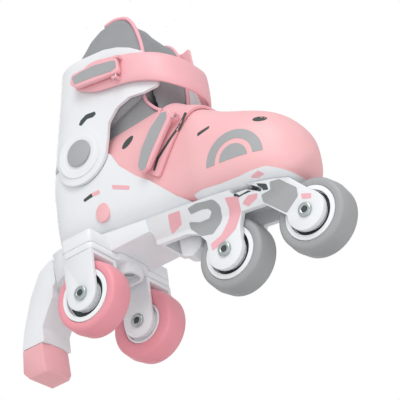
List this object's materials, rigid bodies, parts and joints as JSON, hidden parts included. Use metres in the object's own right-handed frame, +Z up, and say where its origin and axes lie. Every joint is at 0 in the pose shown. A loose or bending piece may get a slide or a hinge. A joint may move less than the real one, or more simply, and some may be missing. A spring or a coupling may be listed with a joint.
{
  "type": "convertible roller skate",
  "caption": "Child's convertible roller skate: hard boot with hinged cuff and buckle straps on a wheeled chassis whose rear pair swivels into line, with a heel brake.",
  "frame": {"origin": "middle of the overall footprint, on the ground plane under the wheels", "axes": "+X towards the toe, +Y to the wearer's left, +Z up; all wheels stand on Z = 0"},
  "size_m": [0.3322, 0.1132, 0.2989],
  "materials": {
    "shell_white": "moulded, semi-gloss",
    "shell_pink": "moulded, semi-gloss",
    "strap_pink": "moulded, satin",
    "tyre_pink": "cast polyurethane, satin",
    "tyre_grey": "cast polyurethane, satin",
    "brake_pink": "moulded rubber",
    "bearing_steel": "ground steel",
    "bolt_steel": "plated steel",
    "trim_grey": "satin",
    "liner_grey": "padded fabric"
  },
  "bodies": {
    "base": {"chassis": "shell_white", "heel_shell": "shell_white", "heel_screw_rear": "bolt_steel", "heel_screw_front": "bolt_steel", "brake_arm": "shell_white", "brake_bolt": "bolt_steel", "brake_pad": "brake_pink", "brake_pad_screw": "bolt_steel", "kingpin": "bolt_steel", "kingpin_nut": "bolt_steel", "liner_foot": "liner_grey", "insole": "liner_grey", "tongue": "liner_grey", "front_wheel_axle_bolt": "bolt_steel", "front_wheel_axle_nut": "bolt_steel", "middle_wheel_axle_bolt": "bolt_steel", "middle_wheel_axle_nut": "bolt_steel"},
    "toe": {"toe_shell": "shell_pink", "instep_strap": "strap_pink", "instep_buckle_pin": "bolt_steel"},
    "instep_lever": {"instep_buckle_lever": "strap_pink"},
    "cuff": {"cuff": "shell_white", "cuff_rivet_right": "bolt_steel", "cuff_rivet_left": "bolt_steel", "cuff_badge_right": "trim_grey", "cuff_badge_left": "trim_grey", "liner_cuff": "liner_grey", "cuff_strap": "strap_pink", "cuff_buckle_pin": "bolt_steel"},
    "cuff_lever": {"cuff_buckle_lever": "strap_pink"},
    "size_button": {"size_button": "shell_pink"},
    "swivel": {"swivel_block": "shell_white", "fork_pin_right": "bolt_steel", "fork_pin_left": "bolt_steel"},
    "lock_pin": {"lock_pin": "bolt_steel"},
    "fork_right": {"fork_right": "shell_white", "rear_right_wheel_axle_bolt": "bolt_steel", "rear_right_wheel_axle_nut": "bolt_steel"},
    "fork_left": {"fork_left": "shell_white", "rear_left_wheel_axle_bolt": "bolt_steel", "rear_left_wheel_axle_nut": "bolt_steel"},
    "front_wheel": {"front_wheel_tyre": "tyre_grey", "front_wheel_hub": "shell_white", "front_wheel_bearing_outer": "bearing_steel", "front_wheel_bearing_inner": "bearing_steel"},
    "middle_wheel": {"middle_wheel_tyre": "tyre_grey", "middle_wheel_hub": "shell_white", "middle_wheel_bearing_outer": "bearing_steel", "middle_wheel_bearing_inner": "bearing_steel"},
    "rear_right_wheel": {"rear_right_wheel_tyre": "tyre_pink", "rear_right_wheel_hub": "shell_white", "rear_right_wheel_bearing_outer": "bearing_steel", "rear_right_wheel_bearing_inner": "bearing_steel"},
    "rear_left_wheel": {"rear_left_wheel_tyre": "tyre_pink", "rear_left_wheel_hub": "shell_white", "rear_left_wheel_bearing_outer": "bearing_steel", "rear_left_wheel_bearing_inner": "bearing_steel"}
  },
  "joints": [
    {"name": "swivel_turn", "type": "hinge", "parent": "base", "child": "swivel", "pos_m": [-0.06725, 0, 0.072], "axis": [0, 0, 1], "range_deg": [0, 90]},
    {"name": "fork_right_turn", "type": "hinge", "parent": "swivel", "child": "fork_right", "pos_m": [-0.06725, -0.0375, 0.067], "axis": [0, 0, 1], "range_deg": [-90, 0]},
    {"name": "fork_left_turn", "type": "hinge", "parent": "swivel", "child": "fork_left", "pos_m": [-0.06725, 0.0375, 0.067], "axis": [0, 0, 1], "range_deg": [0, 90]},
    {"name": "lock_pin_pull", "type": "slide", "parent": "swivel", "child": "lock_pin", "axis": [0, 0, -1], "range_m": [0, 0.003], "stiffness_N_per_m": 300, "springref_m": -0.001},
    {"name": "front_wheel_spin", "type": "hinge", "parent": "base", "child": "front_wheel", "pos_m": [0.13405, 0, 0.032], "axis": [0, 1, 0], "continuous": true},
    {"name": "middle_wheel_spin", "type": "hinge", "parent": "base", "child": "middle_wheel", "pos_m": [0.05475, 0, 0.032], "axis": [0, 1, 0], "continuous": true},
    {"name": "rear_right_wheel_spin", "type": "hinge", "parent": "fork_right", "child": "rear_right_wheel", "pos_m": [-0.06725, -0.0375, 0.032], "axis": [0, 1, 0], "continuous": true},
    {"name": "rear_left_wheel_spin", "type": "hinge", "parent": "fork_left", "child": "rear_left_wheel", "pos_m": [-0.06725, 0.0375, 0.032], "axis": [0, 1, 0], "continuous": true},
    {"name": "cuff_lean", "type": "hinge", "parent": "base", "child": "cuff", "pos_m": [-0.06405, 0, 0.175], "axis": [0, 1, 0], "range_deg": [0, 4]},
    {"name": "toe_slide", "type": "slide", "parent": "base", "child": "toe", "axis": [0.9898, 0, -0.1425], "range_m": [0, 0.018]},
    {"name": "size_button_press", "type": "slide", "parent": "base", "child": "size_button", "axis": [0, 1, 0], "range_m": [0, 0.0018], "stiffness_N_per_m": 400, "springref_m": -0.0005},
    {"name": "cuff_lever_open", "type": "hinge", "parent": "cuff", "child": "cuff_lever", "pos_m": [-0.00805, -0.046, 0.233], "axis": [0.2279, 0, 0.9737], "range_deg": [0, 95]},
    {"name": "instep_lever_open", "type": "hinge", "parent": "toe", "child": "instep_lever", "pos_m": [0.03445, -0.0415, 0.1645], "axis": [-0.7779, 0, 0.6283], "range_deg": [0, 95]}
  ],
  "couplings": [
    {"joint": "fork_right_turn", "follows": "swivel_turn", "ratio": -1},
    {"joint": "fork_left_turn", "follows": "swivel_turn", "ratio": 1}
  ]
}
